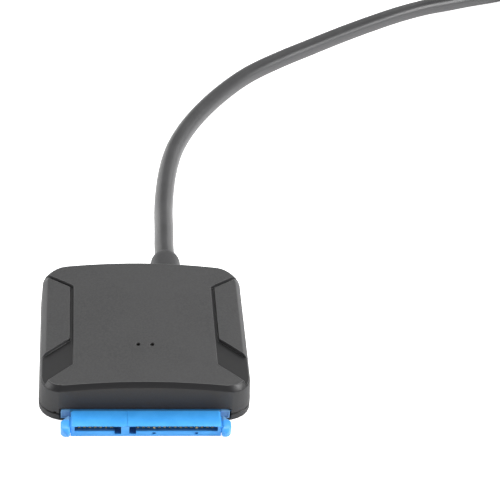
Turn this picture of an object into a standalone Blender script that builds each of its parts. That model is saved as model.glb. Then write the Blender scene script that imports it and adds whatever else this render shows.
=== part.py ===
"""Hard drive adapter cable: a moulded housing with a drive socket, a round cable and a host plug.

The housing stands on the plane z = 0 and the socket faces -Y. The origin is midway between the
back wall and the tips of the socket's guide ears.
"""

import bmesh
import bpy
from math import acos, atan2, ceil, cos, pi, radians, sin, sqrt
from mathutils import Vector
from mathutils.geometry import interpolate_bezier

MM = 0.001
FIT = 0.3 * MM                      # gap between pieces that seat on each other

# Housing
HOUSING_WIDTH = 50.5 * MM
HOUSING_DEPTH = 47.2 * MM
HOUSING_HEIGHT = 12.0 * MM          # at the middle of the crowned top
CROWN_RADIUS = 154 * MM
PLAN_RADIUS = 6.0 * MM
TOP_CHAMFER = 1.3 * MM
CHAMFER_EASE = 0.2                  # share of the chamfer that is eased at each of its edges
FOOT_EDGE_RADIUS = 0.5 * MM
PARTING_HEIGHT = 2.2 * MM
SIDE_WALL = 1.6 * MM
ROOF = 1.8 * MM
FLOOR = 1.2 * MM
LIP_WALL = 0.9 * MM
LIP_RISE = 1.3 * MM

# Recess and pad on each side of the top
RECESS_DEPTH = 0.9 * MM
RECESS_INNER = 17.45 * MM           # from the middle plane to the recess's inner line
RECESS_BACK = 14.5 * MM             # ends of the inner line, from the housing's centre
RECESS_FRONT = -15.1 * MM
RECESS_ANGLE = radians(39)          # of the diagonals that run out to the side
PAD_INNER = 18.3 * MM
PAD_FRONT = -5.55 * MM
PAD_GAP = 0.85 * MM

INDICATOR_HOLE = 1.0 * MM
INDICATOR_SPACING = 3.4 * MM
INDICATOR_ROW = -9.0 * MM           # from the housing's centre

# Front wall
FRONT_RELIEF_WIDTH = 40.2 * MM
FRONT_RELIEF_TOP = 7.9 * MM
FRONT_RELIEF_DEPTH = 0.25 * MM
PRY_NOTCH_OFFSET = -21.65 * MM
PRY_NOTCH_WIDTH = 0.9 * MM
PRY_NOTCH_HEIGHT = 0.5 * MM

# Drive socket
SOCKET_REACH = 5.35 * MM            # from the front wall to the socket's mouth
EAR_REACH = 1.65 * MM               # from the mouth to the tips of the guide ears
TONGUE_WIDTH = 35.9 * MM
TONGUE_BOTTOM = 0.3 * MM
TONGUE_TOP = 3.58 * MM
TONGUE_CHAMFER = 0.4 * MM           # along the top's two sides
BASE_WIDTH = 40.6 * MM
BASE_BOTTOM = 1.1 * MM
BASE_TOP = 3.62 * MM
BASE_DEPTH = 2.2 * MM
BASE_CHAMFER = 0.2 * MM
BASE_RIM = 0.35 * MM                # round the sunk panel beside each ear's root
BASE_PANEL_DEPTH = 0.2 * MM
FLANGE_SIDE_ROOM = 2.05 * MM        # from the flange's end to the side wall
FLANGE_DEPTH = 2.3 * MM
FLANGE_BOTTOM = 1.5 * MM
FLANGE_RISE = 0.5 * MM              # above the base, behind the front wall
EAR_INNER = 18.3 * MM
EAR_OUTER = 20.35 * MM
EAR_BOTTOM = 0.8 * MM
EAR_TOP = 3.5 * MM
EAR_ROOT = 3.9 * MM                 # how far behind the mouth an ear starts
EAR_SHOULDER = 1.85 * MM            # how far behind the mouth it reaches its full width
EAR_EDGE_RADIUS = 0.4 * MM
WEB_DROP = 0.45 * MM                # from an ear's top to the web that joins it to the body
SLOT_BOTTOM = 1.8 * MM
SLOT_TOP = 3.3 * MM
SLOT_DEPTH = 4.7 * MM
LEG_BOTTOM = 0.95 * MM
SIGNAL_SLOT = (-17.0 * MM, -6.0 * MM)
SIGNAL_LEG = (-7.55 * MM, -6.0 * MM)
POWER_SLOT = (-4.04 * MM, 17.1 * MM)
POWER_LEG = (-4.04 * MM, -2.46 * MM)
LIP_CHAMFER = 0.15 * MM
CONTACT_PITCH = 1.27 * MM
SIGNAL_CONTACTS = 7
POWER_CONTACTS = 15
FIRST_SIGNAL_CONTACT = -15.92 * MM
FIRST_POWER_CONTACT = -1.95 * MM
EARLY_POWER_CONTACTS = (4, 12)      # these two reach further forward and mate first
EARLY_REACH = 0.2 * MM
CONTACT_SETBACK = 0.35 * MM         # from the mouth to a contact's tip
CONTACT_DIP = 0.56 * MM             # how far a contact bends down into the slot
CONTACT_FOOT = 1.7 * MM
CONTACT_WIDTH = 0.5 * MM
CONTACT_THICKNESS = 0.2 * MM
CONTACT_HEIGHT = 3.06 * MM
CHANNEL_WIDTH = 0.95 * MM
CHANNEL_HEIGHT = 0.72 * MM
LIP_HOLE_WIDTH = 0.75 * MM
LIP_HOLE_HEIGHT = 0.5 * MM
LIP_HOLE_LEVEL = 1.2 * MM
TOP_GROOVE_WIDTH = 1.2 * MM
TOP_GROOVE_DEPTH = 0.12 * MM
OPENING_SIDE_GAP = 0.3 * MM
OPENING_TOP_GAP = 0.2 * MM

# Circuit board and what it carries
BOARD_BOTTOM = 2.1 * MM
BOARD_THICKNESS = 1.2 * MM
BOARD_SIDE_GAP = 0.45 * MM          # to the bottom cover's lip
BOARD_BACK_GAP = 1.9 * MM
BOARD_FRONT_GAP = 0.9 * MM          # to the socket's flange
POST_MARGIN = 2.5 * MM              # from the board's side to the middle of a post
POST_ROWS = (-14.5 * MM, 5.5 * MM)
POST_RADIUS = 1.5 * MM
PIN_RADIUS = 0.7 * MM

# Parts on the board: the middle, from the housing's centre, then width, depth and height
BRIDGE_CHIP = ((0, 0), (7.0 * MM, 7.0 * MM, 0.9 * MM))
CRYSTAL_CAN = ((-9.0 * MM, -1.5 * MM), (3.2 * MM, 2.5 * MM, 0.8 * MM))
POWER_INDUCTOR = ((-2.5 * MM, 9.5 * MM), (6.0 * MM, 6.0 * MM, 3.0 * MM))
FLASH_CHIP = ((8.5 * MM, -6.5 * MM), (3.9 * MM, 4.9 * MM, 1.4 * MM))
REGULATOR_CHIP = ((12.5 * MM, 2.0 * MM), (3.5 * MM, 6.5 * MM, 1.5 * MM))
INDICATOR_SIZE = (0.8 * MM, 1.6 * MM, 0.7 * MM)
FLASH_LEGS = (4, 1.27 * MM)         # on each side, and their spacing
REGULATOR_LEGS = (3, 2.3 * MM)
CAPACITOR_RADIUS = 2.5 * MM
CAPACITOR_PLACES = ((-14.0 * MM, 3.5 * MM), (-12.5 * MM, -9.5 * MM), (14.0 * MM, -10.5 * MM))

# Power jack
JACK_X = -12.0 * MM
JACK_WIDTH = 9.0 * MM
JACK_LENGTH = 11.0 * MM
JACK_FLOOR_GAP = 0.5 * MM
JACK_COLLAR_STEP = 0.05 * MM
JACK_BORE_WALL = 0.65 * MM
JACK_BORE_DEPTH = 9.6 * MM
JACK_PIN = 2.0 * MM
JACK_SPRING_WIDTH = 1.4 * MM

# Strain relief and cable
CABLE_DIAMETER = 4.8 * MM
CABLE_X = 6.6 * MM
BOOT_DIAMETER = 7.8 * MM
BOOT_NECK = 6.2 * MM
BOOT_CYLINDER = 6.2 * MM            # straight part outside the wall
BOOT_REACH = 9.5 * MM               # whole length outside the wall
BOOT_FLANGE = 2.0 * MM
BOOT_SOCKET = 4.0 * MM              # how deep the cable sits in the boot
CORE_RADIUS = 0.45 * MM

# The cable's way down from the boot, as points in millimetres, and then along the surface
CABLE_DESCENT = [(6.6, 41.0, 5.6), (6.95, 49.7, 4.6), (7.3, 60.6, 3.0)]
CABLE_LAID = [
    (8.1, 70.9), (9.4, 80.7), (11.7, 90.9), (15.7, 101.3), (21.5, 112.1), (29.2, 123.3), (36.9, 132.2),
    (47.1, 140.9), (57.4, 148.6), (68.0, 156.4), (78.8, 163.8), (89.8, 170.7), (99.6, 175.7),
    (106.8, 178.4), (114.2, 181.3), (124.9, 185.2),
]

# Unseen end of the cable, wound and laid down
COIL_RADIUS = 25.0 * MM             # at the middle of the turns
COIL_ENTRY = (150.0 * MM, 194.8 * MM)
COIL_HEADING = radians(21)          # direction of the cable where it meets the coil
COIL_LAYERS = 2
TIE_THICKNESS = 0.8 * MM
TIE_WIDTH = 6.0 * MM
TIE_ANGLE = radians(55)
TAIL_LENGTH = 52.0 * MM             # from the coil to the host plug

# Host plug
PLUG_COVER = (15.5 * MM, 29.0 * MM, 8.2 * MM)
PLUG_NECK_LENGTH = 8.0 * MM
PLUG_NECK_DIAMETER = 7.0 * MM
PLUG_SHELL = (12.0 * MM, 18.8 * MM, 4.5 * MM)
PLUG_SHELL_WALL = 0.35 * MM
PLUG_SHELL_SEAT = 4.0 * MM
PLUG_TONGUE = 1.9 * MM
PLUG_TONGUE_SETBACK = 0.9 * MM


def crown(x):
    """Height of the crowned top above the plane, at a distance x from the middle."""
    return HOUSING_HEIGHT - CROWN_RADIUS + sqrt(CROWN_RADIUS ** 2 - x ** 2)


def under_roof(x):
    """Height that a part inside may reach at a distance x from the middle."""
    return crown(x) - ROOF - FIT


# Worked out from the sizes above
FRONT_REACH = SOCKET_REACH + EAR_REACH
HOUSING_Y = FRONT_REACH / 2
WALL_FRONT = HOUSING_Y - HOUSING_DEPTH / 2
WALL_BACK = HOUSING_Y + HOUSING_DEPTH / 2
MOUTH = WALL_FRONT - SOCKET_REACH
UPPER_RIM = PARTING_HEIGHT + FIT / 2
LOWER_RIM = PARTING_HEIGHT - FIT / 2
LIP_INSET = SIDE_WALL + FIT
LIP_INSIDE = LIP_INSET + LIP_WALL
BASE_BACK = WALL_FRONT + BASE_DEPTH
FLANGE_BACK = BASE_BACK + FLANGE_DEPTH
FLANGE_WIDTH = HOUSING_WIDTH - 2 * (SIDE_WALL + FLANGE_SIDE_ROOM)
BOARD_TOP = BOARD_BOTTOM + BOARD_THICKNESS
BOARD_WIDTH = HOUSING_WIDTH - 2 * (LIP_INSIDE + BOARD_SIDE_GAP)
POST_X = BOARD_WIDTH / 2 - POST_MARGIN
PART_LEVEL = BOARD_TOP + FIT
JACK_BOTTOM = FLOOR + JACK_FLOOR_GAP
JACK_HEIGHT = under_roof(JACK_X - JACK_WIDTH / 2) - JACK_BOTTOM
JACK_LEVEL = JACK_BOTTOM + JACK_HEIGHT / 2
JACK_COLLAR = JACK_HEIGHT - 2 * JACK_COLLAR_STEP
JACK_BORE = JACK_HEIGHT - 2 * JACK_BORE_WALL
CABLE_LEVEL = HOUSING_HEIGHT / 2
COIL_BOTTOM = TIE_THICKNESS + FIT
COIL_CLEAR = sqrt((COIL_RADIUS + CABLE_DIAMETER / 2 + FIT) ** 2 - (COIL_RADIUS - CABLE_DIAMETER / 2) ** 2)
COIL_CENTRE = (COIL_ENTRY[0] + COIL_RADIUS * sin(COIL_HEADING),
               COIL_ENTRY[1] - COIL_RADIUS * cos(COIL_HEADING))
PLUG_X = COIL_CENTRE[0] + COIL_RADIUS
PLUG_BACK = COIL_CENTRE[1] - TAIL_LENGTH
PLUG_LEVEL = PLUG_COVER[2] / 2
PLUG_FRONT = PLUG_BACK - PLUG_NECK_LENGTH - PLUG_COVER[1]


def clear_scene():
    for item in list(bpy.data.objects):
        bpy.data.objects.remove(item, do_unlink=True)


def material(name, colour, roughness, metallic=0.0):
    made = bpy.data.materials.get(name) or bpy.data.materials.new(name)
    made.use_nodes = True
    shader = made.node_tree.nodes["Principled BSDF"]
    shader.inputs["Base Color"].default_value = (*colour, 1)
    shader.inputs["Roughness"].default_value = roughness
    shader.inputs["Metallic"].default_value = metallic
    return made


def housing_plastic():
    return material("housing_plastic", (0.075, 0.075, 0.077), 0.6)


def socket_plastic():
    return material("socket_plastic", (0.08, 0.27, 0.74), 0.42)


def cable_jacket():
    return material("cable_jacket", (0.13, 0.13, 0.135), 0.5)


def gold_plate():
    return material("gold_plate", (0.83, 0.52, 0.16), 0.3, 1.0)


def bright_metal():
    return material("bright_metal", (0.72, 0.72, 0.72), 0.28, 1.0)


def chip_plastic():
    return material("chip_plastic", (0.02, 0.02, 0.022), 0.5)


def board_laminate():
    return material("board_laminate", (0.02, 0.14, 0.06), 0.45)


# Making solids

def place_mesh(name, bm, finish, smooth=None):
    """Turns a bmesh into a named object with its faces pointing outwards."""
    bmesh.ops.recalc_face_normals(bm, faces=bm.faces)
    mesh = bpy.data.meshes.new(name)
    bm.to_mesh(mesh)
    bm.free()
    if smooth is not None:
        mesh.shade_smooth()
        mesh.set_sharp_from_angle(angle=smooth)
    item = bpy.data.objects.new(name, mesh)
    bpy.context.collection.objects.link(item)
    if finish is not None:
        mesh.materials.append(finish)
    return item


def extruded(name, outline, start, end, axis, finish=None, smooth=None):
    """A prism: an outline in the plane across the axis, from start to end along it."""
    spread = {
        "x": lambda u, v, w: (w, u, v),
        "y": lambda u, v, w: (u, w, v),
        "z": lambda u, v, w: (u, v, w),
    }[axis]
    bm = bmesh.new()
    corners = [bm.verts.new(spread(u, v, start)) for u, v in outline]
    face = bm.faces.new(corners)
    grown = bmesh.ops.extrude_face_region(bm, geom=[face])
    moved = [v for v in grown["geom"] if isinstance(v, bmesh.types.BMVert)]
    bmesh.ops.translate(bm, verts=moved, vec=Vector(spread(0, 0, end - start)))
    return place_mesh(name, bm, finish, smooth)


def box(name, low, high, finish=None):
    outline = [(low[0], low[1]), (high[0], low[1]), (high[0], high[1]), (low[0], high[1])]
    return extruded(name, outline, low[2], high[2], "z", finish)


def turned(name, profile, centre, axis, finish=None, steps=32, smooth=radians(40)):
    """A revolve of (radius, distance along the axis) points round an axis through centre."""
    along = {"y": Vector((0, 1, 0)), "z": Vector((0, 0, 1))}[axis]
    across = Vector((1, 0, 0))
    centre = Vector(centre)
    bm = bmesh.new()
    rim = [bm.verts.new(centre + across * r + along * t) for r, t in profile]
    ends_on_axis = profile[0][0] == 0 and profile[-1][0] == 0
    following = rim[1:] if ends_on_axis else rim[1:] + rim[:1]
    edges = [bm.edges.new((a, b)) for a, b in zip(rim, following)]
    bmesh.ops.spin(bm, geom=rim + edges, cent=centre, axis=along, angle=2 * pi, steps=steps, use_merge=True)
    bmesh.ops.remove_doubles(bm, verts=bm.verts, dist=1e-7)
    bmesh.ops.dissolve_degenerate(bm, edges=bm.edges, dist=1e-7)
    return place_mesh(name, bm, finish, smooth)


def lofted(name, rings, finish=None, smooth=None):
    """A skin over closed rings with equal numbers of points, capped at both ends."""
    bm = bmesh.new()
    layers = [[bm.verts.new(point) for point in ring] for ring in rings]
    for lower, upper in zip(layers, layers[1:]):
        for i in range(len(lower)):
            j = (i + 1) % len(lower)
            bm.faces.new((lower[i], lower[j], upper[j], upper[i]))
    for layer in (layers[0], layers[-1]):
        half = len(layer) // 2
        for i in range(half - 1):
            bm.faces.new((layer[i], layer[i + 1], layer[-2 - i], layer[-1 - i]))
    return place_mesh(name, bm, finish, smooth)


def hidden_tool(item):
    item.hide_render = True
    item.display_type = "WIRE"
    return item


def cut(target, *tools):
    for tool in tools:
        modifier = target.modifiers.new(f"cut_{tool.name}", "BOOLEAN")
        modifier.operation = "DIFFERENCE"
        modifier.object = hidden_tool(tool)


def join(target, *tools):
    for tool in tools:
        modifier = target.modifiers.new(f"join_{tool.name}", "BOOLEAN")
        modifier.operation = "UNION"
        modifier.object = hidden_tool(tool)


def soften(target, width, segments=2, angle=radians(40)):
    modifier = target.modifiers.new("edge_radius", "BEVEL")
    modifier.width = width
    modifier.segments = segments
    modifier.limit_method = "ANGLE"
    modifier.angle_limit = angle


def rounded_outline(corners, radius, steps=4):
    """The outline with each corner replaced by an arc that is tangent to both sides."""
    made = []
    count = len(corners)
    for i, corner in enumerate(corners):
        here = Vector(corner)
        before = (Vector(corners[i - 1]) - here).normalized()
        after = (Vector(corners[(i + 1) % count]) - here).normalized()
        half = acos(max(-1, min(1, before.dot(after)))) / 2
        reach = radius / abs(sin(half)) * cos(half)
        start = here + before * reach
        end = here + after * reach
        centre = here + (before + after).normalized() * (radius / sin(half))
        first = atan2(start.y - centre.y, start.x - centre.x)
        turn = atan2(end.y - centre.y, end.x - centre.x) - first
        turn = (turn + pi) % (2 * pi) - pi
        for step in range(steps + 1):
            angle = first + turn * step / steps
            made.append((centre.x + radius * cos(angle), centre.y + radius * sin(angle)))
    return made


def plan_ring(inset, height, front_steps=12, corner_steps=6):
    """The housing's plan outline, moved inwards, at a height that may follow the crown."""
    half_width = HOUSING_WIDTH / 2 - inset
    half_depth = HOUSING_DEPTH / 2 - inset
    radius = max(PLAN_RADIUS - inset, 0.5 * MM)
    front = []
    for step in range(corner_steps + 1):
        angle = pi + step / corner_steps * pi / 2
        front.append((radius - half_width + radius * cos(angle), radius - half_depth + radius * sin(angle)))
    straight = 2 * (half_width - radius)
    for step in range(1, front_steps):
        front.append((radius - half_width + straight * step / front_steps, -half_depth))
    for step in range(corner_steps + 1):
        angle = 3 * pi / 2 + step / corner_steps * pi / 2
        front.append((half_width - radius + radius * cos(angle), radius - half_depth + radius * sin(angle)))
    ring = front + [(x, -y) for x, y in reversed(front)]
    return [(x, HOUSING_Y + y, height(x) if callable(height) else height) for x, y in ring]


# Housing

def channel_outline(side):
    """Plan of the recess less its pad: a channel round the pad and an open floor in front of it."""
    outside = HOUSING_WIDTH / 2 + 1.5 * MM
    slope = sin(RECESS_ANGLE) / cos(RECESS_ANGLE)
    pad_back = RECESS_BACK - PAD_GAP * (1 - sin(RECESS_ANGLE)) / cos(RECESS_ANGLE)
    corners = [
        (outside, RECESS_BACK + (outside - RECESS_INNER) * slope),
        (RECESS_INNER, RECESS_BACK),
        (RECESS_INNER, RECESS_FRONT),
        (outside, RECESS_FRONT - (outside - RECESS_INNER) * slope),
        (outside, PAD_FRONT - (outside - PAD_INNER) * slope),
        (PAD_INNER, PAD_FRONT),
        (PAD_INNER, pad_back),
        (outside, pad_back + (outside - PAD_INNER) * slope),
    ]
    rounded = rounded_outline(corners, 0.2 * MM, 2)
    return [(side * x, HOUSING_Y + y) for x, y in rounded]


def recess_tool(side):
    """Cuts the channel to one depth below the crown, with a floor that slopes as the crown does."""
    edge = HOUSING_WIDTH / 2
    fall = (crown(RECESS_INNER) - crown(edge)) / (edge - RECESS_INNER)
    outline = channel_outline(side)
    bm = bmesh.new()
    corners = []
    for x, y in outline:
        floor = crown(RECESS_INNER) - fall * (abs(x) - RECESS_INNER) - RECESS_DEPTH
        corners.append(bm.verts.new((x, y, floor)))
    face = bm.faces.new(corners)
    grown = bmesh.ops.extrude_face_region(bm, geom=[face])
    moved = [v for v in grown["geom"] if isinstance(v, bmesh.types.BMVert)]
    bmesh.ops.translate(bm, verts=moved, vec=Vector((0, 0, 5 * MM)))
    return place_mesh(f"recess_{'left' if side < 0 else 'right'}", bm, None)


def socket_opening(name, low, high, depth):
    half = BASE_WIDTH / 2 + OPENING_SIDE_GAP
    return box(name, (-half, WALL_FRONT - MM, low), (half, WALL_FRONT + depth, high))


def jack_wall_hole(name):
    radius = JACK_COLLAR / 2 + FIT
    profile = [(0, -MM), (radius, -MM), (radius, SIDE_WALL + LIP_WALL + 1.2 * MM),
               (0, SIDE_WALL + LIP_WALL + 1.2 * MM)]
    return turned(name, [(r, -t) for r, t in profile], (JACK_X, WALL_BACK, JACK_LEVEL), "y")


def boot_slot():
    """Round-topped slot in the back wall, open downwards, that slides over the boot's neck."""
    radius = BOOT_NECK / 2 + FIT
    outline = [(CABLE_X - radius, UPPER_RIM - MM)]
    for step in range(17):
        angle = pi - pi * step / 16
        outline.append((CABLE_X + radius * cos(angle), CABLE_LEVEL + radius * sin(angle)))
    outline.append((CABLE_X + radius, UPPER_RIM - MM))
    return extruded("boot_slot", outline, WALL_BACK - SIDE_WALL - MM, WALL_BACK + MM, "y")


def make_top_cover():
    ease = 0.4 * CHAMFER_EASE
    rings = [plan_ring(0, UPPER_RIM)]
    for inward, down in ((0, 1), (ease, 1 - CHAMFER_EASE), (1 - CHAMFER_EASE, ease), (1, 0)):
        drop = TOP_CHAMFER * down
        rings.append(plan_ring(TOP_CHAMFER * inward, lambda x, drop=drop: crown(x) - drop))
    cover = lofted("top_cover", rings, housing_plastic(), radians(28))
    cavity = lofted("top_cavity", [plan_ring(SIDE_WALL, UPPER_RIM - MM),
                                   plan_ring(SIDE_WALL, lambda x: crown(x) - ROOF)])
    cut(cover, cavity, recess_tool(-1), recess_tool(1))
    for side in (-1, 1):
        for row, y in enumerate(POST_ROWS):
            top = crown(POST_X) - ROOF + 0.4 * MM
            profile = [(0, PART_LEVEL), (POST_RADIUS, PART_LEVEL), (POST_RADIUS, top), (0, top)]
            post = turned(f"clamp_post_{side}_{row}", profile, (side * POST_X, HOUSING_Y + y, 0), "z", steps=16)
            join(cover, post)
    for side in (-1, 1):
        radius = INDICATOR_HOLE / 2
        profile = [(0, 0), (radius, 0), (radius, HOUSING_HEIGHT), (0, HOUSING_HEIGHT)]
        place = (side * INDICATOR_SPACING / 2, HOUSING_Y + INDICATOR_ROW, HOUSING_HEIGHT / 2)
        cut(cover, turned(f"indicator_hole_{side}", profile, place, "z", steps=12))
    relief = [(WALL_FRONT - MM, FRONT_RELIEF_TOP), (WALL_FRONT, FRONT_RELIEF_TOP),
              (WALL_FRONT + FRONT_RELIEF_DEPTH, BASE_TOP), (WALL_FRONT + FRONT_RELIEF_DEPTH, 0),
              (WALL_FRONT - MM, 0)]
    cut(cover, extruded("front_relief", relief, -FRONT_RELIEF_WIDTH / 2, FRONT_RELIEF_WIDTH / 2, "x"))
    cut(cover, socket_opening("upper_socket_opening", 0, BASE_TOP + OPENING_TOP_GAP, 3 * MM))
    half = PRY_NOTCH_WIDTH / 2
    notch = [(PRY_NOTCH_OFFSET - half, UPPER_RIM - MM), (PRY_NOTCH_OFFSET + half, UPPER_RIM - MM),
             (PRY_NOTCH_OFFSET + half, UPPER_RIM), (PRY_NOTCH_OFFSET, UPPER_RIM + PRY_NOTCH_HEIGHT),
             (PRY_NOTCH_OFFSET - half, UPPER_RIM)]
    cut(cover, extruded("pry_notch", notch, WALL_FRONT - MM, WALL_FRONT + 0.8 * MM, "y"))
    cut(cover, boot_slot(), jack_wall_hole("upper_jack_hole"))
    return cover


def make_bottom_cover():
    steps = 3
    rings = []
    for step in range(steps + 1):
        angle = pi / 2 * step / steps
        rings.append(plan_ring(FOOT_EDGE_RADIUS * (1 - sin(angle)), FOOT_EDGE_RADIUS * (1 - cos(angle))))
    lip_top = LOWER_RIM + LIP_RISE
    rings += [plan_ring(0, LOWER_RIM), plan_ring(LIP_INSET, LOWER_RIM), plan_ring(LIP_INSET, lip_top)]
    cover = lofted("bottom_cover", rings, housing_plastic(), radians(28))
    cavity = lofted("bottom_cavity", [plan_ring(LIP_INSIDE, FLOOR), plan_ring(LIP_INSIDE, lip_top + MM)])
    sill = BASE_BOTTOM - FIT
    cut(cover, cavity, socket_opening("lower_socket_opening", sill, HOUSING_HEIGHT, BASE_DEPTH + FIT))
    half = FLANGE_WIDTH / 2 + FIT
    flange_room = box("flange_room", (-half, WALL_FRONT + SIDE_WALL, FLANGE_BOTTOM - FIT),
                      (half, FLANGE_BACK + FIT, HOUSING_HEIGHT))
    boot_half = BOOT_DIAMETER / 2 + FIT
    boot_room = box("boot_room", (CABLE_X - boot_half, WALL_BACK - 2 * LIP_INSIDE, FLOOR),
                    (CABLE_X + boot_half, WALL_BACK - SIDE_WALL, HOUSING_HEIGHT))
    jack_half = JACK_WIDTH / 2 + FIT
    jack_room = box("jack_room", (JACK_X - jack_half, WALL_BACK - 2 * LIP_INSIDE, FLOOR),
                    (JACK_X + jack_half, WALL_BACK - SIDE_WALL, HOUSING_HEIGHT))
    cut(cover, flange_room, boot_room, jack_room, jack_wall_hole("lower_jack_hole"))
    saddle_half = BOOT_NECK / 2
    saddle_top = CABLE_LEVEL - 0.375 * BOOT_NECK
    saddle = box("boot_saddle", (CABLE_X - saddle_half, WALL_BACK - SIDE_WALL, FLOOR),
                 (CABLE_X + saddle_half, WALL_BACK - 0.2 * MM, saddle_top))
    neck_radius = BOOT_NECK / 2 + FIT
    profile = [(0, MM), (neck_radius, MM), (neck_radius, -SIDE_WALL - MM), (0, -SIDE_WALL - MM)]
    neck_room = turned("neck_room", profile, (CABLE_X, WALL_BACK, CABLE_LEVEL), "y")
    join(cover, saddle)
    cut(cover, neck_room)
    for side in (-1, 1):
        for row, y in enumerate(POST_ROWS):
            seat = BOARD_BOTTOM - FIT
            pin = BOARD_TOP - 0.1 * MM
            low = FLOOR - 0.4 * MM
            profile = [(0, low), (POST_RADIUS, low), (POST_RADIUS, seat), (PIN_RADIUS, seat),
                       (PIN_RADIUS, pin), (0, pin)]
            join(cover, turned(f"board_post_{side}_{row}", profile, (side * POST_X, HOUSING_Y + y, 0), "z",
                               steps=16))
    return cover


# Drive socket

def ear(side):
    """A guide ear: sections along Y that widen from the root and close to a nose near the inner side."""
    width = EAR_OUTER - EAR_INNER
    height = EAR_TOP - EAR_BOTTOM
    stations = [(EAR_ROOT, 0, 0.85, 0.1), (EAR_SHOULDER, 0, 0, 0)]
    nose_steps = 5
    for step in range(nose_steps + 1):
        angle = radians(82) * step / nose_steps
        closed = 1 - cos(angle)
        stations.append((-EAR_REACH * sin(angle) / sin(radians(82)), 0.3 * closed, 0.62 * closed, 0.45 * closed))
    rings = []
    for behind, from_inner, from_outer, shrink in stations:
        inner = EAR_INNER + from_inner * width
        outer = EAR_OUTER - from_outer * width
        low = EAR_BOTTOM + shrink * height
        high = EAR_TOP - shrink * height
        corners = [(inner, low), (outer, low), (outer, high), (inner, high)]
        radius = min(EAR_EDGE_RADIUS, 0.4 * (outer - inner), 0.4 * (high - low))
        ring = rounded_outline(corners, radius, 3)
        rings.append([(side * x, MOUTH + behind, z) for x, z in ring])
    return lofted(f"ear_{side}", rings)


def ear_web(side):
    """Joins an ear to the body, below its top, so that a valley runs between them."""
    inner = side * (TONGUE_WIDTH / 2 - MM)
    outer = side * (EAR_INNER + 0.2 * MM)
    return box(f"ear_web_{side}", (min(inner, outer), MOUTH + 0.1 * MM, EAR_BOTTOM + WEB_DROP),
               (max(inner, outer), MOUTH + EAR_ROOT - 0.2 * MM, EAR_TOP - WEB_DROP))


def slot_tool(name, span, leg):
    """An L-shaped slot: a wide flat part and a leg at the end next to the dividing wall."""
    left, right = span
    leg_left, leg_right = leg
    if leg_left > left:
        lower = [(left, SLOT_BOTTOM), (leg_left, SLOT_BOTTOM), (leg_left, LEG_BOTTOM), (right, LEG_BOTTOM)]
    else:
        lower = [(left, LEG_BOTTOM), (leg_right, LEG_BOTTOM), (leg_right, SLOT_BOTTOM), (right, SLOT_BOTTOM)]
    outline = [(left, SLOT_TOP)] + lower + [(right, SLOT_TOP)]
    return extruded(name, outline, MOUTH - MM, MOUTH + SLOT_DEPTH, "y")


def lead_in(name, left, right, level):
    """Chamfer on a slot's lower lip at the mouth."""
    outline = [(MOUTH - MM, level - LIP_CHAMFER), (MOUTH, level - LIP_CHAMFER),
               (MOUTH + LIP_CHAMFER, level + 0.05 * MM), (MOUTH - MM, level + 0.05 * MM)]
    return extruded(name, outline, left, right, "x")


def contact_places():
    """Name, x and extra reach of every contact in the drive socket."""
    places = []
    for number in range(SIGNAL_CONTACTS):
        places.append((f"signal_contact_{number + 1}", FIRST_SIGNAL_CONTACT + number * CONTACT_PITCH, 0))
    for number in range(POWER_CONTACTS):
        reach = EARLY_REACH if number + 1 in EARLY_POWER_CONTACTS else 0
        places.append((f"power_contact_{number + 1}", FIRST_POWER_CONTACT + number * CONTACT_PITCH, reach))
    return places


def channels_tool():
    """The straight channels that hold the contacts, one body each, open at the mouth as notches."""
    bm = bmesh.new()
    low = CONTACT_HEIGHT - CHANNEL_HEIGHT / 2
    length = FLANGE_BACK - MOUTH + 2 * MM
    for name, x, reach in contact_places():
        made = bmesh.ops.create_cube(bm, size=1)
        for vert in made["verts"]:
            vert.co.x = x + vert.co.x * CHANNEL_WIDTH
            vert.co.y = MOUTH - MM + (vert.co.y + 0.5) * length
            vert.co.z = low + (vert.co.z + 0.5) * CHANNEL_HEIGHT
    return place_mesh("contact_channels", bm, None)


def base_panel(side):
    """The sunk panel on the base's face between the body and the base's end."""
    inner = side * (TONGUE_WIDTH / 2 + BASE_RIM / 2)
    outer = side * (BASE_WIDTH / 2 - BASE_RIM)
    return box(f"base_panel_{side}", (min(inner, outer), WALL_FRONT - MM, BASE_BOTTOM + BASE_RIM),
               (max(inner, outer), WALL_FRONT + BASE_PANEL_DEPTH, BASE_TOP - BASE_RIM))


def side_chamfer(side):
    """Takes off the long top edge of the body."""
    past = 0.5 * MM
    corner = TONGUE_WIDTH / 2
    outline = [(corner - TONGUE_CHAMFER - past, TONGUE_TOP + past),
               (corner + past, TONGUE_TOP - TONGUE_CHAMFER - past), (corner + past, TONGUE_TOP + past)]
    outline = [(side * x, z) for x, z in outline]
    return extruded(f"side_chamfer_{side}", outline, MOUTH - MM, BASE_BACK + MM, "y")


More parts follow.
